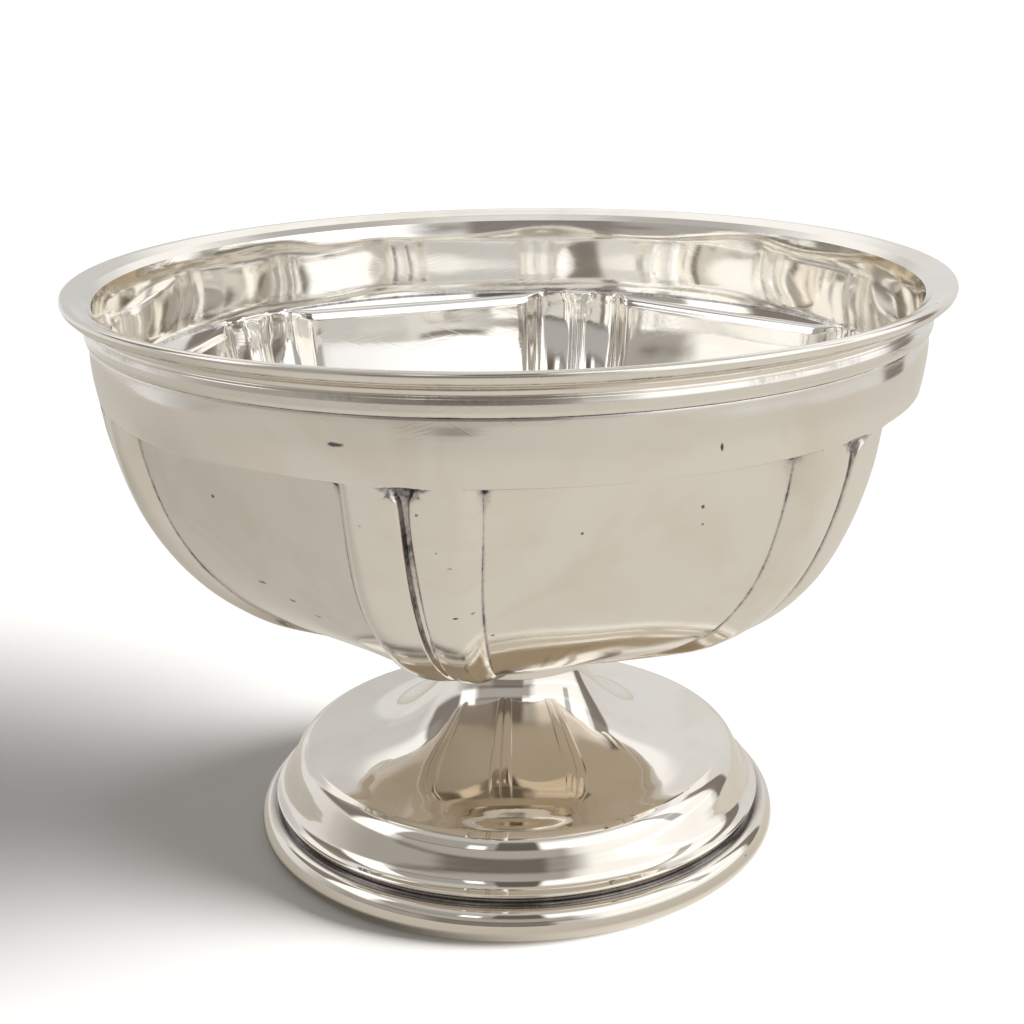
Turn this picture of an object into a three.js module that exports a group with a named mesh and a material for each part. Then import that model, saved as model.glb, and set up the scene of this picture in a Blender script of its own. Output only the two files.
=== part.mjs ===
// Footed bowl in polished silver, built up the way a silversmith builds it:
// a panelled sheet shell, an applied rim moulding, an everted lip ring, a spun
// trumpet foot and a half-round base wire, soldered together on flat seats.
// Millimetres, +Z up, origin at the centre of the base.

import * as THREE from 'three';

// ---- driving dimensions -------------------------------------------------
// heights in the sections are drawn from a datum this far under the base plane
const DATUM = 1.5;
const RIM_R = 100.0;            // outer radius of the lip
const RIM_TOP = 138.65;         // height of the lip's crest
const LIP_SEAT = 136.0;         // plane where the lip sits on shell and moulding
const SHELL_TOP_R = 93.6;       // shell's outer radius behind the moulding
const SHELL_IN_R = 92.6;        // shell's inner radius at the rim
const MOULDING_SEAT = 128.9;    // plane of the seam under the moulding
const BELT_R = 94.2;            // belt radius just under the seam
const LEDGE_Z = 115.2;          // lower edge of the belt, overhanging the panels
const WALL = 1.0;               // sheet thickness of the shell
const FOLDS = 6;                // rib pairs round the bowl
const PAIR_AZ = -102.5;         // azimuth of the front rib pair's groove, degrees
const PAIR_HALF = 9.0;          // half width of a rib pair, degrees
const GROOVE_HALF = 3.4;        // half width of the groove between two ribs, degrees
const SHOULDER_AZ = 5.8;        // where a rib starts to round over to the panel, degrees
const GROOVE_DEPTH = 3.2;       // depth of that groove
const CREASE_DEPTH = 4.4;       // drop from a rib's crown to the edge of its panel
const NECK_SEAT = 47.4;         // plane where the foot meets the bowl's underside
const NECK_R = 16.4;            // foot's radius at the neck
const FOOT_WALL = 1.5;          // sheet thickness of the foot
const ARRIS_R = 51.0;           // sharp edge between skirt and shoulder
const ARRIS_Z = 22.9;
const BASE_R = 63.6;            // outer radius of the base wire
const RING_SEAT = 8.8;          // plane where the pedestal stands on the base wire

// ---- azimuth grid, shared by the shell and the two rim rings ------------
// finer on the ribs than on the flat panels
const HALF_GRID = [0, 1.7, 3.4, 5.8, 7.7, PAIR_HALF, 15, 22.5, 30];
const FOLD_GRID = [];
for (let i = HALF_GRID.length - 1; i > 0; i--) FOLD_GRID.push(-HALF_GRID[i]);
for (let i = 0; i < HALF_GRID.length - 1; i++) FOLD_GRID.push(HALF_GRID[i]);
const SHELL_GRID = [];
for (let k = 0; k < FOLDS; k++) {
  for (const a of FOLD_GRID) SHELL_GRID.push({ az: PAIR_AZ + (360 / FOLDS) * k + a, phi: a });
}
const FOOT_GRID = [];
for (let k = 0; k < 60; k++) FOOT_GRID.push({ az: k * 6, phi: 0 });

const rad = (d) => (d * Math.PI) / 180;
const clamp01 = (t) => Math.min(1, Math.max(0, t));
const smooth = (t) => { const u = clamp01(t); return u * u * (3 - 2 * u); };

// ---- turned body on a given azimuth grid --------------------------------
// rows: [{ r, z, relief }] along the section; radius(row, phi) gives the plan shape
function turned(rows, grid, radius, closed) {
  const section = rows.map((p) => new THREE.Vector2(p.r, p.z));
  if (closed) section.push(section[0].clone());
  const geo = new THREE.LatheGeometry(section, grid.length);
  const pos = geo.getAttribute('position');
  const n = section.length;
  for (let i = 0; i <= grid.length; i++) {
    const g = grid[i % grid.length];
    const c = Math.cos(rad(g.az));
    const s = Math.sin(rad(g.az));
    for (let j = 0; j < n; j++) {
      const row = rows[j % rows.length];
      const r = row.r === 0 ? 0 : radius(row, g.phi);
      pos.setXYZ(i * n + j, r * c, r * s, row.z - DATUM);
    }
  }
  // outward facing
  const index = geo.getIndex();
  let volume = 0;
  const a = new THREE.Vector3();
  const b = new THREE.Vector3();
  const d = new THREE.Vector3();
  for (let t = 0; t < index.count; t += 3) {
    a.fromBufferAttribute(pos, index.getX(t));
    b.fromBufferAttribute(pos, index.getX(t + 1));
    d.fromBufferAttribute(pos, index.getX(t + 2));
    volume += a.dot(b.cross(d)) / 6;
  }
  if (volume < 0) {
    for (let t = 0; t < index.count; t += 3) {
      const q = index.getX(t + 1);
      index.setX(t + 1, index.getX(t + 2));
      index.setX(t + 2, q);
    }
  }
  geo.computeVertexNormals();
  return geo;
}
const round = (row) => row.r;

// ---- the panelled shell --------------------------------------------------
// plan shape: two rounded ribs with a groove between them, then a flat panel
function panelled(row, phi) {
  if (!row.relief) return row.r;
  const a = Math.abs(phi);
  const fade = row.relief;
  const crease = CREASE_DEPTH * fade;
  if (a <= PAIR_HALF) {
    let drop = 0;
    if (a < GROOVE_HALF) drop = GROOVE_DEPTH * fade * ((GROOVE_HALF - a) / GROOVE_HALF) ** 1.8;
    if (a > SHOULDER_AZ) drop = crease * ((a - SHOULDER_AZ) / (PAIR_HALF - SHOULDER_AZ)) ** 2.2;
    return row.r - drop;
  }
  const half = 180 / FOLDS;
  const flat = ((row.r - crease) * Math.cos(rad(half - PAIR_HALF))) / Math.cos(rad(half - a));
  return flat * smooth(fade * 1.6) + (row.r - crease) * (1 - smooth(fade * 1.6));
}

// crown of the ribs, from the belt's lower edge down to the foot's seat
const CROWN = [
  [92.7, 114.6], [91.5, 106.6], [89.2, 98.2], [86.2, 90.2], [82.5, 83.2],
  [78.2, 77.2], [73.0, 71.6], [67.1, 66.9], [60.0, 62.4], [50.6, 58.3],
  [40.3, 54.4], [30.0, 50.6], [22.5, 48.1],
];
const reliefAt = (r) => smooth((r - 16) / 34);

const outer = [
  { r: SHELL_TOP_R, z: LIP_SEAT },
  { r: SHELL_TOP_R, z: MOULDING_SEAT },
  { r: BELT_R, z: MOULDING_SEAT },
  { r: 94.0, z: 121.5 },
  { r: 92.9, z: LEDGE_Z },
  ...CROWN.map(([r, z]) => ({ r, z, relief: reliefAt(r) })),
  { r: 18.0, z: NECK_SEAT },
  { r: 0, z: NECK_SEAT },
];

// inside face: the crown stepped in along its normal by the sheet's thickness
const inner = [
  { r: 0, z: NECK_SEAT + WALL },
  { r: 18.0, z: NECK_SEAT + WALL },
];
for (let i = CROWN.length - 1; i >= 0; i--) {
  const [r, z] = CROWN[i];
  const p = CROWN[Math.max(0, i - 1)];
  const q = CROWN[Math.min(CROWN.length - 1, i + 1)];
  const len = Math.hypot(p[0] - q[0], p[1] - q[1]);
  const nr = (p[1] - q[1]) / len;
  const nz = -(p[0] - q[0]) / len;
  if (i === 0) inner.push({ r: r - WALL, z: LEDGE_Z + 0.5, relief: reliefAt(r) });
  else inner.push({ r: r - WALL * nr, z: z - WALL * nz, relief: reliefAt(r) });
}
inner.push(
  { r: 91.9, z: LEDGE_Z + 1.1 },
  { r: SHELL_IN_R, z: 121.5 },
  { r: SHELL_IN_R, z: LIP_SEAT },
);
const shellRows = [...outer.slice().reverse(), ...inner.slice().reverse()];
const bowlBody = turned(shellRows, SHELL_GRID, panelled, false);

// ---- applied moulding under the lip: reed below, hollow above -----------
const moulding = [
  [SHELL_TOP_R, MOULDING_SEAT], [94.8, MOULDING_SEAT], [95.15, 129.8], [95.2, 131.5],
  [95.05, 132.5], [94.6, 133.0], [94.75, 133.6], [95.15, 134.25], [96.0, 134.9],
  [97.3, 135.45], [98.8, 135.8], [98.9, LIP_SEAT], [SHELL_TOP_R, LIP_SEAT],
].map(([r, z]) => ({ r, z }));
const rimMoulding = turned(moulding, SHELL_GRID, round, true);

// ---- everted lip ring: crest near the outer edge, land sloping down to the inside
const lip = [
  [SHELL_IN_R, LIP_SEAT], [99.0, LIP_SEAT], [99.55, 136.35], [99.9, 137.0], [RIM_R, 137.6],
  [99.8, 138.1], [99.4, 138.45], [98.9, RIM_TOP], [98.3, 138.55], [95.0, 137.4],
  [93.8, 136.85], [92.9, 136.45],
].map(([r, z]) => ({ r, z }));
const rimLip = turned(lip, SHELL_GRID, round, true);

// ---- spun foot: neck, concave skirt, arris, gentle swelling, bead, recess -
const footOuter = [
  [NECK_R, NECK_SEAT], [16.2, 45.2], [16.9, 42.0], [18.2, 39.2], [20.4, 36.0],
  [23.5, 32.6], [27.8, 29.0], [33.0, 26.0], [39.0, 24.05], [45.0, 23.2],
  [ARRIS_R, ARRIS_Z],
  [52.85, 21.8], [54.1, 20.3], [54.9, 18.8], [56.5, 15.1], [57.25, 13.65],
  [58.1, 12.65], [59.3, 12.0], [59.8, 11.6], [59.6, 11.1], [58.9, 10.3],
  [58.75, RING_SEAT],
];
const footInner = [
  [57.2, RING_SEAT], [57.0, 11.0], [55.4, 14.2], [53.7, 18.0], [52.5, 19.8],
  [49.8, 21.3], [44.8, 21.7], [38.6, 22.55], [32.4, 24.6], [27.0, 27.7],
  [22.5, 31.5], [19.2, 35.1], [16.8, 38.6], [15.4, 41.6],
  [NECK_R - FOOT_WALL, NECK_SEAT],
];
const footRows = [...footOuter, ...footInner].map(([r, z]) => ({ r, z }));
const footPedestal = turned(footRows, FOOT_GRID, round, true);

// ---- half-round base wire with a flat underside --------------------------
const baseWire = [
  [57.2, 2.0], [57.6, DATUM], [61.0, DATUM], [62.0, 1.9], [62.85, 2.65], [63.4, 3.6],
  [BASE_R, 4.6], [63.3, 6.3], [62.65, 7.8], [61.5, 9.0], [60.8, 9.25], [60.2, 9.2],
  [59.4, RING_SEAT], [57.2, RING_SEAT],
].map(([r, z]) => ({ r, z }));
const footRing = turned(baseWire, FOOT_GRID, round, true);

// ---- assembly ------------------------------------------------------------
const silver = (hex, roughness) =>
  new THREE.MeshStandardMaterial({ color: hex, roughness, metalness: 1.0 });

const bowl = new THREE.Group();
bowl.name = 'footed_bowl';
const add = (name, geometry, material) => {
  const mesh = new THREE.Mesh(geometry, material);
  mesh.name = name;
  bowl.add(mesh);
};
add('bowl_body', bowlBody, silver(0xd8d0c0, 0.14));
add('rim_moulding', rimMoulding, silver(0xd2cabb, 0.18));
add('rim_lip', rimLip, silver(0xdcd5c7, 0.12));
add('foot_pedestal', footPedestal, silver(0xd8cfbe, 0.1));
add('foot_ring', footRing, silver(0xd6cdbd, 0.12));

export default bowl;
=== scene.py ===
# Footed bowl in polished silver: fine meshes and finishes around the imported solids.
# Shapes are worked out in millimetres, +Z up, from a datum a little under the base,
# turned to metres when a mesh is made and set down on the base plane.
import math

import bpy
import numpy as np
from mathutils import Matrix, Vector


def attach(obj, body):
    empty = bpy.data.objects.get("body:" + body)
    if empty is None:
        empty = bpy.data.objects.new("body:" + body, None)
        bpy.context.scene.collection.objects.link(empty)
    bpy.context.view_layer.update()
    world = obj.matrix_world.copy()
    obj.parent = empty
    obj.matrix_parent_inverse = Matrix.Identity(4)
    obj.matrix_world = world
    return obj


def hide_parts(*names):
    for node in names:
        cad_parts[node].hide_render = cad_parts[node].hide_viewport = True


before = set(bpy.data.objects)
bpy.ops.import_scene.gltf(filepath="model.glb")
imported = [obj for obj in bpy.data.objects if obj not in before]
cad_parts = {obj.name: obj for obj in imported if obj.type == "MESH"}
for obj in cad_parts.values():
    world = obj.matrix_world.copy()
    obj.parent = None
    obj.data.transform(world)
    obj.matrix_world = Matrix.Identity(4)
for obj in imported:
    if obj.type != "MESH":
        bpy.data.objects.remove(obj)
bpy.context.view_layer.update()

MM = 0.001

# ---------------------------------------------------------------- dimensions
FOLDS = 6                # rib pairs round the bowl
PAIR_AZ = -102.5         # groove of the front rib pair, degrees from +X
PAIR_HALF = 9.0          # half width of a rib pair, degrees
SHOULDER_AZ = 5.8        # where a rib starts to round over to its panel, degrees
CREASE_DEPTH = 4.4       # drop from a rib's crown to the edge of its panel
GROOVE_WALL = 1.75       # depth of the slot between two ribs
GROOVE_SOFT = 0.40       # soft rounding of the crowns towards that slot, near the belt
GROOVE_MORE = 0.70       # and how much it grows towards the foot
SLANT = -0.8             # how far the front pair's outer edges wander sideways on their way down, degrees
LEDGE_Z = 115.1          # underside of the belt where it overhangs the panels
SEAM_Z = 128.9           # seam between belt and rim moulding
NECK_SEAT = 47.4
WALL = 1.0
DATUM = 1.5              # heights are drawn from a plane this far under the base


def clamp01(t):
    return np.clip(t, 0.0, 1.0)


def smooth(t):
    u = clamp01(t)
    return u * u * (3 - 2 * u)


# ---------------------------------------------------------------- curves
def through(points, n=400):
    """Dense points on a smooth curve through the given points."""
    p = np.asarray(points, float)
    step = np.sqrt(np.maximum(np.linalg.norm(np.diff(p, axis=0), axis=1), 1e-9))
    t = np.concatenate([[0], np.cumsum(step)])
    m = np.zeros_like(p)
    d = np.diff(p, axis=0) / np.diff(t)[:, None]
    m[0], m[-1] = d[0], d[-1]
    for i in range(1, len(p) - 1):
        a, b = t[i] - t[i - 1], t[i + 1] - t[i]
        m[i] = (d[i - 1] * b + d[i] * a) / (a + b)
    out = []
    for s in np.linspace(t[0], t[-1], n):
        i = int(min(max(np.searchsorted(t, s, side="right") - 1, 0), len(p) - 2))
        h = t[i + 1] - t[i]
        u = (s - t[i]) / h
        out.append(
            (2 * u**3 - 3 * u**2 + 1) * p[i] + (u**3 - 2 * u**2 + u) * h * m[i]
            + (-2 * u**3 + 3 * u**2) * p[i + 1] + (u**3 - u**2) * h * m[i + 1]
        )
    return np.array(out)


def spaced(curve, n):
    """n points evenly spaced along a dense curve."""
    length = np.concatenate([[0], np.cumsum(np.linalg.norm(np.diff(curve, axis=0), axis=1))])
    s = np.linspace(0, length[-1], n)
    return np.stack([np.interp(s, length, curve[:, k]) for k in range(2)], 1)


def rounded(corners, steps=5):
    """A section through (r, z, radius) corners, each corner turned into an arc of that radius."""
    out = []
    n = len(corners)
    for i in range(n):
        p = np.array(corners[i][:2], float)
        rad = corners[i][2] if len(corners[i]) > 2 else 0.0
        a = np.array(corners[i - 1][:2], float) - p
        b = np.array(corners[(i + 1) % n][:2], float) - p
        la, lb = np.linalg.norm(a), np.linalg.norm(b)
        if rad <= 0 or la < 1e-6 or lb < 1e-6:
            out.append(p)
            continue
        a, b = a / la, b / lb
        ang = math.acos(float(np.clip(a @ b, -1, 1)))
        if ang > math.radians(176):
            out.append(p)
            continue
        cut = min(rad / math.tan(ang / 2), 0.48 * la, 0.48 * lb)
        rad = cut * math.tan(ang / 2)
        mid = (a + b) / np.linalg.norm(a + b)
        centre = p + mid * rad / math.sin(ang / 2)
        s, e = p + a * cut - centre, p + b * cut - centre
        t0, t1 = math.atan2(s[1], s[0]), math.atan2(e[1], e[0])
        turn = (t1 - t0 + math.pi) % (2 * math.pi) - math.pi
        for k in range(steps + 1):
            t = t0 + turn * k / steps
            out.append(centre + rad * np.array([math.cos(t), math.sin(t)]))
    return np.array(out)


def held(section, longest=3.0, hold=0.35):
    """The section with long runs split, and a point close to each end of a run, so that shading stays true."""
    out = []
    n = len(section)
    for i in range(n):
        a, b = section[i], section[(i + 1) % n]
        out.append(a)
        run = np.linalg.norm(b - a)
        if run > 4 * hold:
            cuts = [hold / run]
            k = int(math.ceil(run / longest))
            cuts += [j / k for j in range(1, k) if 1.6 * hold < j / k * run < run - 1.6 * hold]
            cuts.append(1 - hold / run)
            out += [a + (b - a) * c for c in cuts]
    return np.array(out)


# ---------------------------------------------------------------- hand-worked unevenness
rng = np.random.default_rng(4127)
WAVES = []
for _ in range(26):
    v = rng.normal(size=3)
    v /= np.linalg.norm(v)
    lam = rng.uniform(16.0, 52.0)
    WAVES.append((v * 2 * math.pi / lam, rng.uniform(0, 2 * math.pi), lam / 34.0))


def uneven(p):
    """A smooth seeded field of about unit size over points in mm, for the dents that handwork leaves."""
    s = np.zeros(p.shape[:-1])
    for k, ph, a in WAVES:
        s += a * np.sin(p @ k + ph)
    return s / 4.2


# ---------------------------------------------------------------- mesh building
def grid_normals(p):
    """Unit normals of a grid of points (rows, columns, 3) that closes round its columns."""
    du = np.roll(p, -1, 1) - np.roll(p, 1, 1)
    dv = np.empty_like(p)
    dv[1:-1] = p[2:] - p[:-2]
    dv[0], dv[-1] = p[1] - p[0], p[-1] - p[-2]
    n = np.cross(du, dv)
    return n / np.maximum(np.linalg.norm(n, axis=2, keepdims=True), 1e-12)


def make_piece(name, rows, layers, poles=None, wrap=False):
    """A closed mesh from a grid (rows, columns, 3) in mm that closes round its columns.
    wrap joins the last row to the first; poles gives the two end points instead."""
    nr, nc = rows.shape[:2]
    verts = rows.reshape(-1, 3)
    last = nr if wrap else nr - 1
    j = np.arange(nc)
    k = (j + 1) % nc
    quads = np.concatenate([
        np.stack([i * nc + j, i * nc + k, ((i + 1) % nr) * nc + k, ((i + 1) % nr) * nc + j], 1) for i in range(last)])
    tris = np.zeros((0, 3), int)
    if poles is not None:
        base = len(verts)
        verts = np.concatenate([verts, np.asarray(poles, float)])
        tris = np.concatenate([
            np.stack([np.full(nc, base), k, j], 1),
            np.stack([np.full(nc, base + 1), (nr - 1) * nc + j, (nr - 1) * nc + k], 1)])
    every = np.concatenate([quads[:, [0, 1, 2]], quads[:, [0, 2, 3]], tris])
    vol = np.einsum("ij,ij->", verts[every[:, 0]], np.cross(verts[every[:, 1]], verts[every[:, 2]]))
    if vol < 0:
        quads, tris = quads[:, ::-1], tris[:, ::-1]
    mesh = bpy.data.meshes.new(name)
    mesh.from_pydata((verts * MM).tolist(), [], quads.tolist() + tris.tolist())
    for layer, values in layers.items():
        v = values.reshape(-1)
        if poles is not None:
            v = np.concatenate([v, [0.0, 0.0]])
        att = mesh.attributes.new(layer, "FLOAT", "POINT")
        att.data.foreach_set("value", v.astype(np.float32))
    mesh.validate()
    mesh.shade_smooth()
    mesh.set_sharp_from_angle(angle=math.radians(50))
    ob = bpy.data.objects.new(name, mesh)
    bpy.context.scene.collection.objects.link(ob)
    return ob


# ---------------------------------------------------------------- the shell
HALF_GRID = [0, .2, .38, .5, .6, .7, .82, 1.0, 1.25, 1.6, 2.0, 2.5, 3.1, 3.9, 4.8, 5.5, 6.0, 6.5, 7.0,
             7.5, 7.95, 8.35, 8.6, 8.82, 9.0, 9.2, 9.5, 10.1, 11.0, 12.4, 14.4, 16.8, 19.4, 22.2, 25.0, 27.6, 30.0]
fold = [-a for a in HALF_GRID[:0:-1]] + HALF_GRID[:-1]
shell_az = np.array([PAIR_AZ + 60.0 * k + a for k in range(FOLDS) for a in fold])
shell_phi = np.array([a for k in range(FOLDS) for a in fold])
# handwork: the front pair's outer edges do not run quite straight down
edge_share = np.where(np.arange(len(shell_phi)) < len(fold), smooth(np.abs(shell_phi) / 7.0) * smooth((28.0 - np.abs(shell_phi)) / 16.0), 0.0)

# belt and crown of the ribs as one line, from the seam down to the foot
OUTER_LINE = through([
    (94.2, 128.9), (94.18, 125.0), (93.95, 121.3), (93.5, 118.2), (92.95, 115.2), (92.3, 111.0), (91.5, 106.6),
    (89.2, 98.2), (86.2, 90.2), (82.5, 83.2), (78.2, 77.2), (73.0, 71.6), (67.1, 66.9), (60.0, 62.4), (50.6, 58.3),
    (40.3, 54.4), (30.0, 50.6), (24.0, 48.6), (20.5, 47.7), (17.5, 47.4),
], 1600)


def offset_line(line, d):
    t = np.gradient(line, axis=0)
    t /= np.linalg.norm(t, axis=1, keepdims=True)
    n = np.stack([-t[:, 1], t[:, 0]], 1)
    if n[0, 0] > 0:
        n = -n
    return line + n * d


inner_belt = through([(93.05, 136.0), (92.75, 133.4), (92.6, 129.0), (92.6, 122.5), (92.45, 119.0), (91.95, 115.9), (91.35, 111.8)], 300)
inner_low = offset_line(OUTER_LINE, WALL)
inner_low = inner_low[inner_low[:, 1] < 110.0]
INNER_LINE = through(np.concatenate([spaced(inner_belt, 9), spaced(inner_low, 20)]), 1600)


def relief_of(r):
    return smooth((r - 16.0) / 34.0)


BLUR = ((-1.5, 0.05), (-1.0, 0.11), (-0.5, 0.20), (0.0, 0.28), (0.5, 0.20), (1.0, 0.11), (1.5, 0.05))


def drop(a, rc, s, inside):
    """How far the surface lies inside the crown line at a degrees from the groove, s mm under the belt's edge."""
    if inside:
        # the back of worked sheet is rounder than its face
        return sum(w * face_drop(np.abs(a + d), rc, s) for d, w in BLUR)
    return face_drop(a, rc, s)


def face_drop(a, rc, s):
    f = relief_of(rc)
    flare = 1.0 + 2.6 * np.maximum(0.0, 1.0 - np.maximum(s, 0.0) / 4.4) ** 2
    g0, g1, g2 = 0.40, 0.78, 2.6
    x = a / flare
    rounder = smooth((s - 3.0) / 24.0)
    slot = GROOVE_WALL * (1 - smooth((x - g0) / (g1 - g0))) * (1 - 0.72 * smooth((a - 0.6) / 1.5))
    soft = (GROOVE_SOFT + GROOVE_MORE * rounder) * clamp01(1 - a / (g2 + 1.5 * rounder)) ** 2
    groove = (slot + soft) * f
    crease = CREASE_DEPTH * f
    start = SHOULDER_AZ - 1.3 * rounder
    side = crease * clamp01((a - start) / (PAIR_HALF - start)) ** 2.2
    flat = (rc - crease) * math.cos(math.radians(30 - PAIR_HALF)) / np.cos(np.radians(30 - a))
    b = smooth(f * 1.6)
    panel = rc - (flat * b + (rc - crease) * (1 - b))
    return np.where(a <= PAIR_HALF, groove + side, panel)


def at_height(line, z):
    order = np.argsort(line[:, 1])
    return np.interp(z, line[order, 1], line[order, 0])


def ledge_block(line, zb, round_max, fillet_max, inside):
    """Rows from the foot of the belt over the ledge to the top of the panels, for every azimuth."""
    rb = float(at_height(line, zb))
    top, low = zb + 1.7, zb - 3.2
    out = []
    for phi in shell_phi:
        a = abs(phi)
        d = float(drop(np.array(a), np.array(rb), np.array(0.0), inside))
        w = float(smooth(np.array(d / 1.0)))
        rho = min(round_max, 0.38 * d + 0.02)
        fil = min(fillet_max, max(0.05, 0.45 * (d - rho)))
        rp = rb - d
        led = [(float(at_height(line, top)), top), (float(at_height(line, zb + rho + 0.45)), zb + rho + 0.45)]
        r0 = float(at_height(line, zb + rho))
        for k in range(6):
            t = math.radians(90 * k / 5)
            led.append((r0 - rho + rho * math.cos(t), zb + rho - rho * math.sin(t)))
        p, q = np.array((r0 - rho, zb)), np.array((rp + fil, zb))
        for c in (0.12, 0.38, 0.64, 0.88):
            led.append(tuple(p + (q - p) * c))
        for k in range(6):
            t = math.radians(90 + 90 * k / 5)
            led.append((rp + fil + fil * math.cos(t), zb - fil + fil * math.sin(t)))
        for k in range(1, 5):
            z = zb - fil + (low - zb + fil) * k / 4
            rc = float(at_height(line, z))
            led.append((rc - float(drop(np.array(a), np.array(rc), np.array(zb - z), inside)), z))
        led = np.array(led)
        n = len(led)
        zc = np.linspace(top, low, n)
        rc = at_height(line, zc)
        crown = np.stack([rc - np.where(zc < zb, drop(np.full(n, a), rc, zb - zc, inside), 0.0), zc], 1)
        # on the crowns the belt runs straight on into the rib
        out.append(crown * (1 - w) + led * w)
    return np.array(out).transpose(1, 0, 2)


def side_rows(line, zb, round_max, fillet_max, inside, upper, n_low):
    """All rows of one face of the shell, top to bottom, as (rows, columns, 2) of r and z."""
    rows = [np.repeat(np.array(u, float)[None, None, :], len(shell_phi), 1) for u in upper]
    rows.append(ledge_block(line, zb, round_max, fillet_max, inside))
    below = line[line[:, 1] < zb - 3.2]
    low = spaced(below, n_low + 1)[1:]
    a = np.abs(shell_phi)
    for rc, z in low:
        d = drop(a, np.full_like(a, rc), np.full_like(a, zb - z), inside)
        rows.append(np.stack([rc - d, np.full_like(a, z)], 1)[None])
    return np.concatenate(rows)


belt_top = rounded([(93.58, 132.0), (93.58, SEAM_Z), (94.2, SEAM_Z, 0.28), (94.19, 126.0), (93.0, 126.0)], 4)[1:-2]
belt_z = [128.2, 127.6, 126.8, 125.8, 124.6, 123.4, 122.2, 121.0, 119.8, 118.7, 117.7]
upper_out = [(93.58, 136.0), (93.58, 132.0)] + [tuple(p) for p in belt_top] + [
    (float(at_height(OUTER_LINE, z)), z) for z in belt_z]
outer_rz = side_rows(OUTER_LINE, LEDGE_Z, 0.8, 1.8, False, upper_out, 44)
upper_in = [(float(at_height(INNER_LINE, z)), z) for z in (136.0, 135.6, 134.4, 132.8, 131.0, 129.0, 127.0, 125.0, 123.0, 121.2, 119.8, 118.6)]
inner_rz = side_rows(INNER_LINE, LEDGE_Z + 0.95, 0.55, 1.8, True, upper_in, 40)


def to_xyz(rz):
    az = np.radians(shell_az + SLANT * edge_share * smooth((112.0 - rz[..., 1]) / 30.0) * smooth((rz[..., 1] - 52.0) / 16.0))
    return np.stack([rz[..., 0] * np.cos(az), rz[..., 0] * np.sin(az), rz[..., 1]], -1)


def dented(p, amount, flat_until=0):
    """The rows moved along their normals by the uneven field; amount is in mm, per point."""
    n = grid_normals(p)
    return p + n * (uneven(p) * amount)[..., None]


out_xyz, in_xyz = to_xyz(outer_rz), to_xyz(inner_rz)
fade_o = smooth((127.6 - outer_rz[..., 1]) / 3.0) * smooth((outer_rz[..., 0] - 18) / 12) * 0.10
fade_i = smooth((135.0 - inner_rz[..., 1]) / 3.0) * smooth((inner_rz[..., 0] - 12) / 12) * 0.09
out_xyz = dented(out_xyz, fade_o)
in_xyz = dented(in_xyz, fade_i)

flat_o = [(12.0, NECK_SEAT), (6.0, NECK_SEAT)]
flat_i = [(12.0, NECK_SEAT + WALL), (6.0, NECK_SEAT + WALL)]
disc_o = to_xyz(np.repeat(np.array(flat_o)[:, None, :], len(shell_phi), 1))
disc_i = to_xyz(np.repeat(np.array(flat_i)[:, None, :], len(shell_phi), 1))
shell_rows = np.concatenate([disc_o[::-1], out_xyz[::-1], in_xyz, disc_i])

# where tarnish gathers in the slots and at the seam, with painted shade along the creases, in the corners under the
# belt and along the ledge
a_cols = np.abs(shell_phi)[None, :]
so = LEDGE_Z - outer_rz[..., 1]
fo = relief_of(outer_rz[..., 0] + 4)
flare = 1.0 + 2.6 * np.maximum(0.0, 1.0 - np.maximum(so, 0.0) / 4.4) ** 2
under = (so > -0.05)
slot_edge = np.exp(-(((a_cols / flare) - 0.56) / 0.15) ** 2) * smooth((50 - so) / 14)
slot_fill = smooth((0.80 - a_cols / flare) / 0.2) * smooth((38 - so) / 26)
# painted shade: dark lines along the creases
crease_shade = np.exp(-((a_cols - PAIR_HALF - 0.05) / (0.17 + 0.10 * smooth((so - 12) / 20))) ** 2) * smooth((56 - so) / 12)
# painted shade in the corners under the belt's edge
corner_shade = np.exp(-np.maximum(so - 1.6, 0) / 2.8) * np.exp(-((a_cols - 9.3) / 0.9) ** 2)
ledge_shade = np.exp(-((so - 0.5) / 0.7) ** 2) * smooth((a_cols - 6.5) / 2)
slot_top = np.exp(-(np.maximum(so, 0) / 2.6) ** 2) * smooth((1.15 - a_cols / flare) / 0.3)
slots_and_shade = np.maximum.reduce(np.broadcast_arrays(0.64 * slot_top, 0.72 * slot_edge, 0.66 * slot_fill, 0.72 * crease_shade, 0.85 * corner_shade, 0.40 * ledge_shade))
outer_dark_layer = np.where(under, slots_and_shade * fo, 0.0)
seam = np.exp(-np.maximum(SEAM_Z - outer_rz[..., 1], 0) / 0.28)
outer_dark_layer = np.maximum(outer_dark_layer, np.where(outer_rz[..., 1] > 126.5, 0.85 * seam, 0.0))
# painted shade in the inside corner where the wall meets the ledge, with a little tarnish
si = LEDGE_Z + 0.95 - inner_rz[..., 1]
shelf = np.exp(-((float(at_height(INNER_LINE, LEDGE_Z + 0.95)) - inner_rz[..., 0]) / 0.9) ** 2)
inner_shelf_shade = (0.10 + 0.55 * shelf) * np.exp(-((si - 0.1) / 0.7) ** 2) * smooth((inner_rz[..., 0] - 60) / 10) * smooth((a_cols - 6.0) / 2.5)
cols = len(shell_phi)
zero = np.zeros((2, cols))
shell_tarnish_and_shade = np.concatenate([zero, outer_dark_layer[::-1], inner_shelf_shade, zero])
shell_outer = np.concatenate([zero + 1, np.ones_like(outer_dark_layer), np.zeros_like(inner_shelf_shade), zero])
bowl_body = make_piece("silver_bowl_body", shell_rows, {"tarnish_and_shade": shell_tarnish_and_shade, "outside": shell_outer},
                       poles=[(0, 0, NECK_SEAT), (0, 0, NECK_SEAT + WALL)])


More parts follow.
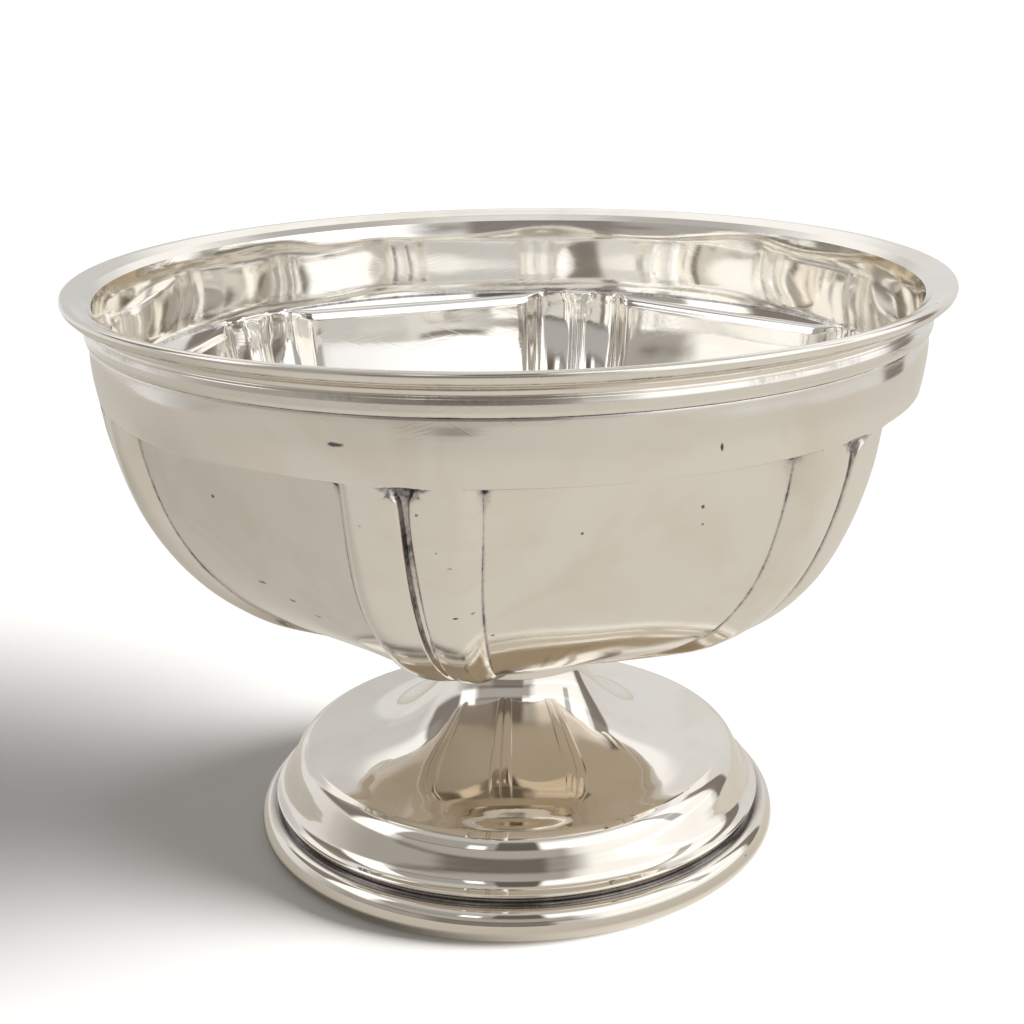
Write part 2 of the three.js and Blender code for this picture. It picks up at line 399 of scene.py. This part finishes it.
# ---------------------------------------------------------------- turned pieces
def turned(name, section, segments, tarnish_and_shade, wobble, smudge_and_shade=None):
    """A closed section turned round the axis, a little uneven as handwork is; smudge and painted shade come and go
    round it.
    """
    az = np.radians(np.arange(segments) * 360.0 / segments - 90.0)
    r, z = section[:, 0][:, None], section[:, 1][:, None]
    p = np.stack([r * np.cos(az), r * np.sin(az), z + 0 * az], -1)
    if wobble:
        n = np.stack([np.cos(az), np.sin(az), 0 * az], -1)[None]
        p = p + n * (uneven(p) * wobble)[..., None]
    t = np.array([tarnish_and_shade(a, b) for a, b in section])[:, None] + np.zeros((1, segments))
    if smudge_and_shade:
        gate = smooth(0.5 + 0.75 * (np.sin(7 * az + 1.1) + np.sin(13 * az + 2.6) + 0.8 * np.sin(29 * az + 0.4)))
        t = np.maximum(t, np.array([smudge_and_shade(a, b) for a, b in section])[:, None] * gate)
    return make_piece(name, p, {"tarnish_and_shade": t}, wrap=True)


def near(v, c, w):
    return math.exp(-((v - c) / w) ** 2)


# applied moulding: flat reed below, hollow above, running out under the lip
cavetto = through([(94.62, 133.05), (94.74, 133.6), (95.15, 134.2), (96.0, 134.85), (97.3, 135.4), (98.75, 135.78)], 200)
mould_section = held(np.concatenate([
    rounded([(93.62, 135.97), (93.62, 128.96), (94.84, 128.96, 0.34), (95.12, 129.8, 1.6), (95.16, 131.5, 1.6),
             (95.0, 132.5, 0.7), (94.72, 132.82, 0.35), (94.62, 133.05)], 5)[:-1],
    spaced(cavetto, 17),
    [(98.85, 135.97)],
]), 2.0, 0.2)
rim_moulding = turned(
    "silver_rim_moulding", mould_section, 288,
    # its layer: dirt in the seam at the foot, tarnish smudges on the reed, painted shade with tarnish in the quirk
    # above the reed, and painted shade under the lip
    lambda r, z: max(0.9 * near(z, 128.96, 0.2) * (r > 94.0), 0.16 * near(z, 132.9, 0.25), 0.2 * near(z, 135.8, 0.1)), 0.03,
    lambda r, z: max(0.46 * near(z, 132.1, 0.75) * (r > 94.5), 0.3 * near(z, 132.9, 0.3)))

# everted lip ring: rounded outer face with a crisp lower edge, crest near it, land sloping down to the inside
face = through([(99.42, 136.42), (99.66, 136.85), (99.79, 137.35), (99.8, 137.7), (99.68, 138.1), (99.4, 138.4), (98.95, 138.56)], 200)
land = through([(98.95, 138.56), (98.35, 138.47), (97.3, 138.11), (96.2, 137.71), (95.6, 137.5)], 160)
lip_section = held(np.concatenate([
    rounded([(93.08, 136.0), (98.98, 136.0, 0.12), (99.42, 136.42)], 3)[:-1],
    spaced(face, 18),
    spaced(land, 12)[1:],
    rounded([(95.6, 137.5), (94.95, 137.26, 0.5), (93.08, 136.0)], 5)[1:-1],
]), 1.6, 0.2)
# its layer: painted shade with tarnish under the crisp lower edge of the outer face
rim_lip = turned("silver_rim_lip", lip_section, 288,
                 lambda r, z: 0.85 * near(z, 136.15, 0.26) * (r > 98.3), 0.02)

# spun foot: neck, concave skirt, arris, swelling that runs out in a hollow, bead and recess
skirt = through([(16.9, 47.36), (16.3, 46.4), (16.2, 45.4), (16.3, 44.0), (16.9, 42.0), (18.2, 39.2), (20.4, 36.0), (23.5, 32.6), (27.8, 29.0),
                 (33.0, 26.0), (39.0, 24.05), (45.0, 23.2), (50.6, 22.9)], 700)
swelling = through([(51.25, 22.8), (52.85, 21.8), (54.1, 20.3), (54.9, 18.8), (55.7, 16.95), (56.5, 15.1), (57.25, 13.65), (58.1, 12.65), (59.15, 12.0)], 400)
under_skirt = through([(57.2, 9.6), (57.0, 11.2), (56.2, 12.7), (55.35, 14.3), (54.5, 16.4), (53.65, 18.2), (52.7, 19.6), (51.4, 20.7), (49.8, 21.35),
                       (44.8, 21.7), (38.6, 22.55), (32.4, 24.6), (27.0, 27.7), (22.5, 31.5), (19.2, 35.1), (16.8, 38.6), (15.4, 41.6), (14.9, 44.4), (14.9, 47.36)], 500)
arris = rounded([(45.0, 23.2), (51.02, 22.88, 0.38), (52.85, 21.8)], 5)[1:-1]
bead = rounded([(58.1, 12.65), (59.4, 11.92, 0.25), (59.74, 11.6, 0.25), (59.6, 11.15, 0.3), (58.95, 10.5, 0.5), (58.7, 9.6, 0.6),
                (58.75, 8.86), (57.2, 8.86)], 5)[1:-1]
foot_section = held(np.concatenate([spaced(skirt, 72), arris, spaced(swelling, 40)[:-1], bead, [(57.2, 8.86)], spaced(under_skirt, 40)]), 3.0, 0.25)
# its layer: painted shade with tarnish in the recess under the bead
foot_pedestal = turned(
    "silver_foot_pedestal", foot_section, 256,
    lambda r, z: 0.8 * near(z, 9.6, 0.9) * (r > 58.0), 0.02)

# half-round base wire
wire = through([(60.95, 1.52), (61.95, 1.95), (62.75, 2.7), (63.32, 3.65), (63.54, 4.6), (63.43, 5.6), (63.08, 6.9), (62.63, 7.8), (62.13, 8.5), (61.5, 9.0),
                (60.8, 9.22), (60.2, 9.17), (59.6, 8.9)], 300)
ring_section = held(np.concatenate([rounded([(57.2, 8.8), (57.2, 1.52, 0.5), (60.95, 1.52)], 4)[:-1], spaced(wire, 30), [(58.9, 8.8)]]), 2.5, 0.25)
# its layer: painted shade in the recess and along the top of the wire next to it, and at its foot where it meets the
# floor
foot_ring = turned("silver_foot_ring", ring_section, 256,
                   lambda r, z: max(0.8 * near(r, 59.2, 0.8) * (z > 8), 0.6 * near(r, 60.4, 1.1) * (z > 8), 0.3 * near(z, 1.6, 0.4)), 0.02)


# ---------------------------------------------------------------- materials
class Graph:
    def __init__(self, tree):
        self.tree = tree

    def node(self, kind, **props):
        n = self.tree.nodes.new(kind)
        for k, v in props.items():
            setattr(n, k, v)
        return n

    def put(self, value, socket):
        if isinstance(value, bpy.types.NodeSocket):
            self.tree.links.new(value, socket)
        else:
            socket.default_value = value

    def math(self, op, a, b=None, c=None, clamp=False):
        n = self.node("ShaderNodeMath", operation=op, use_clamp=clamp)
        for i, v in enumerate((a, b, c)):
            if v is not None:
                self.put(v, n.inputs[i])
        return n.outputs[0]

    def vmath(self, op, a, b=None):
        n = self.node("ShaderNodeVectorMath", operation=op)
        self.put(a, n.inputs[0])
        if b is not None:
            self.put(b, n.inputs[1])
        return n.outputs["Value"] if op in ("LENGTH", "DISTANCE", "DOT_PRODUCT") else n.outputs[0]

    def ramp(self, x, lo, hi, a=0.0, b=1.0, kind="SMOOTHSTEP"):
        n = self.node("ShaderNodeMapRange", interpolation_type=kind, clamp=True)
        for name, v in zip(("Value", "From Min", "From Max", "To Min", "To Max"), (x, lo, hi, a, b)):
            self.put(v, n.inputs[name])
        return n.outputs[0]

    def noise(self, vec, scale, detail=2.0, rough=0.5, distort=0.0):
        n = self.node("ShaderNodeTexNoise")
        self.put(vec, n.inputs["Vector"])
        self.put(scale, n.inputs["Scale"])
        self.put(detail, n.inputs["Detail"])
        self.put(rough, n.inputs["Roughness"])
        self.put(distort, n.inputs["Distortion"])
        return n.outputs["Fac"]

    def mix(self, fac, a, b):
        n = self.node("ShaderNodeMix", data_type="RGBA")
        self.put(fac, n.inputs[0])
        self.put(a, n.inputs[6])
        self.put(b, n.inputs[7])
        return n.outputs[2]

    def attribute(self, name):
        return self.node("ShaderNodeAttribute", attribute_name=name).outputs["Fac"]


def silver(name, tint, warm, gloss, scratch, pits, ragged, low_shade, marks=()):
    """Polished silver with tarnish and painted shade from the mesh's own layer, pits, film, fine scratches and uneven
    polish.
    """
    mat = bpy.data.materials.new(name)
    mat.use_nodes = True
    tree = mat.node_tree
    tree.nodes.clear()
    g = Graph(tree)
    out = g.node("ShaderNodeOutputMaterial")
    bsdf = g.node("ShaderNodeBsdfPrincipled")
    tree.links.new(bsdf.outputs[0], out.inputs[0])
    bsdf.inputs["Metallic"].default_value = 1.0
    where = g.node("ShaderNodeTexCoord").outputs["Object"]

    # tarnish and painted shade: the mesh layer, eaten into by noise so that its edges are ragged
    layer = g.attribute("tarnish_and_shade")
    fine = g.noise(where, 900.0, 3.0, 0.62)
    broad = g.noise(where, 120.0, 2.0, 0.55)
    bite = g.math("ADD", g.math("MULTIPLY", fine, 0.55), g.math("MULTIPLY", broad, 0.75))
    held_back = g.math("MULTIPLY_ADD", bite, -ragged, 0.65 * ragged - 0.12)
    layer_dark = g.ramp(g.math("ADD", layer, held_back), 0.02, 0.85)
    layer_dark = g.math("MULTIPLY", layer_dark, g.ramp(layer, 0.02, 0.2))

    # scattered pits
    cells = g.node("ShaderNodeTexVoronoi", feature="F1")
    g.put(where, cells.inputs["Vector"])
    g.put(150.0, cells.inputs["Scale"])
    pick = g.node("ShaderNodeSeparateColor")
    g.put(cells.outputs["Color"], pick.inputs[0])
    size = g.ramp(pick.outputs[0], 1.0 - pits, 1.0, 0.0, 0.075)
    pit = g.math("LESS_THAN", g.math("ADD", cells.outputs["Distance"], g.math("MULTIPLY", fine, 0.03)), size)
    pit = g.math("MULTIPLY", pit, 0.75)
    dark = g.math("MAXIMUM", layer_dark, pit)

    # single marks at known places on the front
    if marks:
        front = g.node("ShaderNodeSeparateXYZ")
        g.put(where, front.inputs[0])
        face_on = g.math("MULTIPLY", g.attribute("outside"), g.math("LESS_THAN", front.outputs[1], -0.02))
        total = None
        for x, z, rx, rz, strength in marks:
            local = g.vmath("MULTIPLY", g.vmath("SUBTRACT", where, (x * MM, 0, z * MM)), (1 / (rx * MM), 0.0, 1 / (rz * MM)))
            spot = g.ramp(g.math("ADD", g.vmath("LENGTH", local), g.math("MULTIPLY_ADD", fine, 1.1, -0.55)), 1.15, 0.55, 0.0, strength)
            total = spot if total is None else g.math("MAXIMUM", total, spot)
        dark = g.math("MAXIMUM", dark, g.math("MULTIPLY", total, face_on))

    # thin warm film in cloudy patches
    cloud = g.noise(where, 38.0, 3.0, 0.6, 0.6)
    film = g.ramp(cloud, 0.42, 0.72)
    clean = g.mix(film, (*tint, 1), (*warm, 1))
    if low_shade:
        # painted shade: browner low down, standing in for the shaded table that the low surfaces mirror
        z_from, z_to, brown = low_shade
        low = g.node("ShaderNodeSeparateXYZ")
        g.put(where, low.inputs[0])
        clean = g.mix(g.ramp(low.outputs[2], z_from, z_to), clean, (*brown, 1))
    if marks:
        # painted light: the inside of the shell is given a lighter colour than the outside
        painted_light_inside = g.mix(film, (0.93, 0.905, 0.86, 1), (0.90, 0.865, 0.805, 1))
        clean = g.mix(g.attribute("outside"), painted_light_inside, clean)
    dull = g.mix(dark, clean, (0.235, 0.222, 0.25, 1))
    colour = g.mix(g.ramp(dark, 0.55, 1.0), dull, (0.045, 0.038, 0.034, 1))
    tree.links.new(colour, bsdf.inputs["Base Color"])

    # gloss: rubbed unevenly, duller where the tarnish and painted shade lie
    streak = g.noise(g.vmath("MULTIPLY", where, (1.0, 1.0, 26.0)), 70.0, 2.0, 0.6)
    rub = g.ramp(streak, 0.3, 0.75, gloss * 0.8, gloss * 1.3)
    rough = g.math("ADD", rub, g.math("MULTIPLY", dark, 0.25))
    rough = g.math("ADD", rough, g.math("MULTIPLY", film, gloss * 0.3), clamp=True)
    if marks:
        # the outside is rubbed duller than the inside
        rough = g.math("MULTIPLY", rough, g.ramp(g.attribute("outside"), 0.0, 1.0, 0.7, 1.4))
    tree.links.new(rough, bsdf.inputs["Roughness"])

    # fine scratches in two directions
    height = None
    for angle, tall in ((0.35, 1.0), (-0.6, 0.8)):
        turn = g.node("ShaderNodeVectorRotate", rotation_type="EULER_XYZ")
        g.put(where, turn.inputs["Vector"])
        turn.inputs["Rotation"].default_value = (angle, angle * 0.7, angle * 1.3)
        lines = g.noise(g.vmath("MULTIPLY", turn.outputs[0], (60.0, 60.0, 2600.0)), 1.0, 0.0, 0.5)
        cut = g.ramp(lines, 0.64, 0.74, 0.0, tall)
        height = cut if height is None else g.math("ADD", height, cut)
    soft = g.noise(where, 240.0, 1.0, 0.5)
    height = g.math("ADD", g.math("MULTIPLY", height, -0.35), g.math("MULTIPLY", soft, 1.2))
    bump = g.node("ShaderNodeBump")
    bump.inputs["Strength"].default_value = scratch
    bump.inputs["Distance"].default_value = 0.00003
    g.put(height, bump.inputs["Height"])
    tree.links.new(bump.outputs[0], bsdf.inputs["Normal"])
    return mat


MARKS = [
    (38.8, 120.3, 0.34, 1.05, 0.85), (36.95, 104.8, 0.42, 0.46, 0.8), (37.1, 100.9, 0.28, 0.3, 0.7), (-32.0, 122.9, 1.6, 0.48, 0.8),
    (-11.1, 86.5, 0.6, 0.28, 0.85), (-7.8, 87.0, 0.5, 0.3, 0.65), (-14.2, 101.9, 0.26, 0.26, 0.6), (-11.8, 98.5, 0.5, 0.28, 0.5),
    (-17.5, 109.8, 0.34, 0.3, 0.7), (-28.3, 106.8, 0.34, 0.3, 0.5), (-4.2, 79.5, 0.45, 0.3, 0.7), (-61.4, 102.3, 0.5, 0.5, 0.75),
    (-52.8, 82.2, 1.0, 0.5, 0.7), (-46.2, 79.3, 0.8, 0.46, 0.7), (-40.7, 76.5, 0.8, 0.46, 0.6),
]
# browner low down under the bowl: painted shade
shell_mat = silver("shell_silver", (0.855, 0.812, 0.745), (0.805, 0.75, 0.665), 0.075, 0.12, 0.03, 0.8, (0.072, 0.057, (0.60, 0.525, 0.43)), MARKS)
rim_mat = silver("rim_silver", (0.855, 0.812, 0.745), (0.81, 0.755, 0.67), 0.13, 0.25, 0.02, 0.9, None)
# browner over the lower half of the base wire: painted shade
foot_mat = silver("foot_silver", (0.855, 0.808, 0.738), (0.81, 0.752, 0.665), 0.035, 0.05, 0.012, 0.2, (0.0086, 0.0050, (0.72, 0.665, 0.585)))

for piece, node, slot, mat in (
    (bowl_body, "bowl_body", "shell_silver", shell_mat),
    (rim_moulding, "rim_moulding", "rim_silver", rim_mat),
    (rim_lip, "rim_lip", "rim_silver", rim_mat),
    (foot_pedestal, "foot_pedestal", "foot_silver", foot_mat),
    (foot_ring, "foot_ring", "foot_silver", foot_mat),
):
    piece.data.materials.append(mat)
    piece.location.z = -DATUM * MM
    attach(piece, "root")
    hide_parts(node)


# ---------------------------------------------------------------- floor
def plain(name, colour):
    mat = bpy.data.materials.new(name)
    mat.use_nodes = True
    b = mat.node_tree.nodes["Principled BSDF"]
    b.inputs["Base Color"].default_value = (*colour, 1)
    b.inputs["Roughness"].default_value = 0.9
    b.inputs["Specular IOR Level"].default_value = 0.0
    return mat


def stage_object(name, verts, faces, mat):
    mesh = bpy.data.meshes.new(name)
    mesh.from_pydata(verts, [], faces)
    ob = bpy.data.objects.new(name, mesh)
    bpy.context.scene.collection.objects.link(ob)
    mesh.materials.append(mat)
    return ob


# the pale floor that is seen, and the round creamier table top that the silver mirrors, which glows as painted light
# with painted shade
S, Z0, Z1 = 30.0, -0.0002, -0.0006
seen = stage_object("floor_seen", [(-S, -S, Z0), (S, -S, Z0), (S, S, Z0), (-S, S, Z0)], [(0, 1, 2, 3)], plain("floor_white", (0.93, 0.93, 0.925)))
seen.visible_diffuse = seen.visible_glossy = seen.visible_transmission = seen.visible_shadow = False
cream_glow = plain("floor_cream_glow", (0.14, 0.136, 0.128))
cream_glow.cycles.emission_sampling = "NONE"
c = Graph(cream_glow.node_tree)
place = c.node("ShaderNodeTexCoord").outputs["Object"]
across = c.node("ShaderNodeSeparateXYZ")
c.put(place, across.inputs[0])
top = cream_glow.node_tree.nodes["Principled BSDF"]
spread = c.vmath("LENGTH", place)
# close to the foot: in its own shade at the left, in the light at the right
close = c.mix(c.ramp(across.outputs[0], -0.035, 0.03), (0.11, 0.102, 0.088, 1), (0.78, 0.755, 0.71, 1))
c.put(c.mix(c.ramp(spread, 0.0645, 0.071), close, (0.515, 0.494, 0.452, 1)), top.inputs["Emission Color"])
# painted light: the table glows brighter at the right than at the left and fades outward
c.put(c.math("MULTIPLY", c.ramp(across.outputs[0], -0.30, 0.30, 0.91, 1.12), c.ramp(spread, 0.24, 0.42, 1.0, 0.90)), top.inputs["Emission Strength"])
rim_turn = [2 * math.pi * i / 96 for i in range(96)]
mirrored = stage_object("floor_mirrored", [(0.6 * math.cos(t), 0.6 * math.sin(t), Z1) for t in rim_turn], [tuple(range(96))], cream_glow)
mirrored.visible_camera = mirrored.visible_diffuse = mirrored.visible_shadow = False

# ---------------------------------------------------------------- light
# even light for the floors, and a tent of soft panels round the bowl that only the silver mirrors
scene = bpy.context.scene
world = bpy.data.worlds.new("studio")
scene.world = world
world.use_nodes = True
wt = world.node_tree
wt.nodes.clear()
even = Graph(wt)
back = even.node("ShaderNodeBackground")
back.inputs["Color"].default_value = (1.0, 0.99, 0.975, 1)
even.put(even.ramp(even.node("ShaderNodeLightPath").outputs["Is Camera Ray"], 0.0, 1.0, 0.265, 1.0), back.inputs["Strength"])
wt.links.new(back.outputs[0], even.node("ShaderNodeOutputWorld").inputs[0])

tent_mat = bpy.data.materials.new("tent")
tent_mat.use_nodes = True
tent_mat.cycles.emission_sampling = "NONE"
tt = tent_mat.node_tree
tt.nodes.clear()
w = Graph(tt)
look = w.vmath("NORMALIZE", w.node("ShaderNodeTexCoord").outputs["Object"])
split = w.node("ShaderNodeSeparateXYZ")
w.put(look, split.inputs[0])
dx, dy, dz = split.outputs
el = w.math("MULTIPLY", w.math("ARCSINE", dz), 180 / math.pi)
az = w.math("MULTIPLY", w.math("ARCTAN2", dx, w.math("MULTIPLY", dy, -1.0)), 180 / math.pi)
far = w.math("SUBTRACT", 180.0, w.math("ABSOLUTE", az))


def patch(x, x0, x1, e0, e1, sx, se):
    """1 inside a window of the sky, falling softly to 0 outside it."""
    s0, s1 = sx if isinstance(sx, tuple) else (sx, sx)
    a = w.math("MULTIPLY", w.ramp(x, x0 - s0, x0), w.ramp(x, x1 + s1, x1))
    b = w.math("MULTIPLY", w.ramp(el, e0 - se, e0), w.ramp(el, e1 + se, e1))
    return w.math("MULTIPLY", a, b)


level = w.ramp(el, 0.0, 70.0, 0.77, 0.90, "LINEAR")
# each panel of the tent scales the light that is already there
for x, x0, x1, e0, e1, sx, se, k in (
    (far, 0, 66, 35, 47, 12, 4, 0.32),         # pale panel high beyond the bowl
    (far, 0, 40, 57, 68, 8, 4, -0.40),         # gap above it
    (az, -176, -132, 14, 33, 8, 5, -0.18),     # shade beyond the bowl at the left
    (az, -70, 10, -70, 16, (38, 6), 4, -0.48), # dimmer skirting low on the camera's side
    (az, -30, 24, -8, 15, 12, 4, -0.40),       # dimmer still behind the camera
    (az, 18, 104, 2, 10, 6, 4, 0.50),          # soft light low at the right of the camera
    (az, 36, 104, 12, 27, 14, 4, 0.50),        # its middle
    (az, 14, 104, 29, 52, 4, 3, 0.62),         # and its upper part
    (az, 80, 86, 18, 52, 2, 3, -0.55),         # bar across it
    (az, -86, -66, 19, 50, 4, 4, 0.65),        # smaller soft light at the left of the camera
    (az, -56, 20, 17, 29, 7, 4, -0.45),        # shade between them
    (az, -62, 9, 31, 46, 4, 4, -0.52),         # and above
    (az, -24, -18, 32, 39, 3, 3, 2.6),         # small window in the shade
    (az, -118, -92, 24, 46, 5, 5, -0.70),      # dark upright at the left
    (az, -100, 100, 50, 76, 8, 5, -0.35),      # dimmer ceiling on the camera's side
    (az, -10, 9, 33, 52, 3, 4, -0.65),         # dark upright behind the camera
    (az, 112, 122, -8, 40, 3, 4, -0.7),        # dark upright at the right
    (az, -150, -99, -40, 16, 4, 4, 0.08),      # pale wall at the left
):
    level = w.math("MULTIPLY", level, w.math("MULTIPLY_ADD", patch(x, x0, x1, e0, e1, sx, se), k, 1.0))
hue = w.mix(w.ramp(level, 0.08, 0.7), (1.0, 0.90, 0.80, 1), (0.99, 0.995, 1.0, 1))
glow = w.node("ShaderNodeEmission")
w.put(hue, glow.inputs["Color"])
w.put(level, glow.inputs["Strength"])
tt.links.new(glow.outputs[0], w.node("ShaderNodeOutputMaterial").inputs[0])

RADIUS, N_AZ, N_EL = 1.0, 64, 32
tent_verts = [(RADIUS * math.cos(e) * math.cos(a), RADIUS * math.cos(e) * math.sin(a), RADIUS * math.sin(e))
              for e in [math.pi * (i / N_EL - 0.5) for i in range(1, N_EL)] for a in [2 * math.pi * j / N_AZ for j in range(N_AZ)]]
tent_faces = [(i * N_AZ + j, i * N_AZ + (j + 1) % N_AZ, (i + 1) * N_AZ + (j + 1) % N_AZ, (i + 1) * N_AZ + j)
              for i in range(N_EL - 2) for j in range(N_AZ)]
tent_faces += [tuple(range(N_AZ)), tuple(range((N_EL - 2) * N_AZ, (N_EL - 1) * N_AZ))]
tent = stage_object("tent", tent_verts, tent_faces, tent_mat)
tent.visible_camera = tent.visible_diffuse = tent.visible_transmission = tent.visible_volume_scatter = tent.visible_shadow = False

sun = bpy.data.lights.new("key", "SUN")
sun.energy = 7.0
sun.angle = math.radians(30)
sun.color = (1.0, 0.99, 0.975)
sun_ob = bpy.data.objects.new("key", sun)
scene.collection.objects.link(sun_ob)
LIFT, SWING = math.radians(24), math.radians(4)
towards = Vector((-math.cos(LIFT) * math.cos(SWING), math.cos(LIFT) * math.sin(SWING), -math.sin(LIFT)))
sun_ob.rotation_mode = "QUATERNION"
sun_ob.rotation_quaternion = towards.to_track_quat("-Z", "Y")
sun_ob.visible_glossy = False

# ---------------------------------------------------------------- camera
pitch, roll = 0.3170, -0.0171
ahead = Vector((0, math.cos(pitch), -math.sin(pitch)))
right = Vector((1, 0, 0))
up = right.cross(ahead)
right, up = math.cos(roll) * right + math.sin(roll) * up, -math.sin(roll) * right + math.cos(roll) * up
cam_data = bpy.data.cameras.new("camera")
cam_data.sensor_fit = "HORIZONTAL"
cam_data.sensor_width = 36.0
cam_data.lens = 59.80
cam_data.clip_start, cam_data.clip_end = 0.01, 100.0
cam = bpy.data.objects.new("camera", cam_data)
scene.collection.objects.link(cam)
rot = Matrix((right, up, -ahead)).transposed().to_4x4()
cam.matrix_world = Matrix.Translation((0, -0.386, 0.20708 - DATUM * MM)) @ rot
scene.camera = cam

# silver mirrors silver many times over inside the bowl
scene.cycles.max_bounces = 16
scene.cycles.glossy_bounces = 14

scene.view_settings.view_transform = "Standard"
scene.view_settings.look = "None"
scene.view_settings.exposure = 0.0
scene.view_settings.gamma = 1.0
